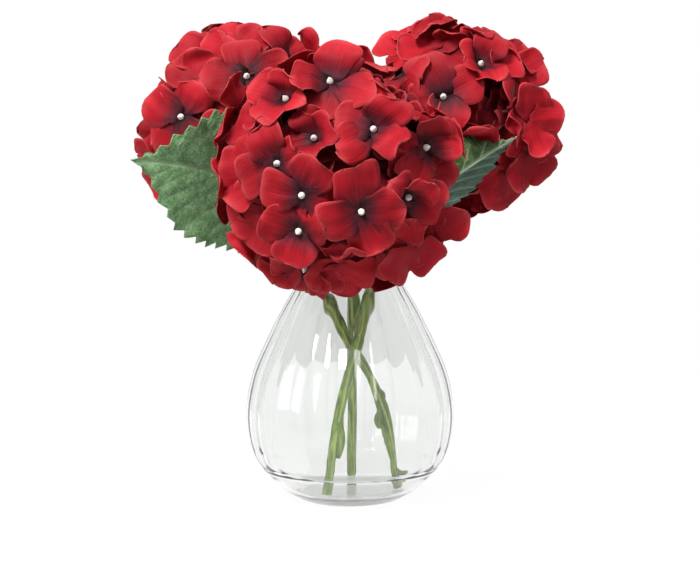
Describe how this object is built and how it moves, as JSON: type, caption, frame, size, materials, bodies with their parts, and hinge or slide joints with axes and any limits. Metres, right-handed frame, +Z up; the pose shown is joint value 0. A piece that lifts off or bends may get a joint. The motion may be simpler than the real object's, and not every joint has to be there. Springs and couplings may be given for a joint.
{
  "type": "hydrangeas in a vase",
  "caption": "Red mophead hydrangeas on green stems with serrated leaves, standing in a clear fluted teardrop glass vase.",
  "frame": {"origin": "middle of the underside of the vase's foot, on the surface it stands on", "axes": "+Z up through the vase; the front bloom and the picture's camera are on the -Y side, +X to the right in the picture"},
  "size_m": [0.2954, 0.2482, 0.3268],
  "materials": {
    "vase_glass": "clear pressed glass, fire-polished",
    "stem_plastic": "moulded, satin",
    "leaf_fabric": "woven polyester with pressed veins",
    "petal_fabric": "dyed satin polyester, heat-shaped"
  },
  "bodies": {
    "root": {"vase": "vase_glass", "stem_left": "stem_plastic", "stem_front": "stem_plastic", "stem_right": "stem_plastic", "leaf_left": "leaf_fabric", "leaf_right": "leaf_fabric", "leaf_low": "leaf_fabric", "leaf_back_left": "leaf_fabric", "leaf_back_right": "leaf_fabric", "head_left": "petal_fabric", "head_front": "petal_fabric", "head_right": "petal_fabric"}
  },
  "joints": []
}
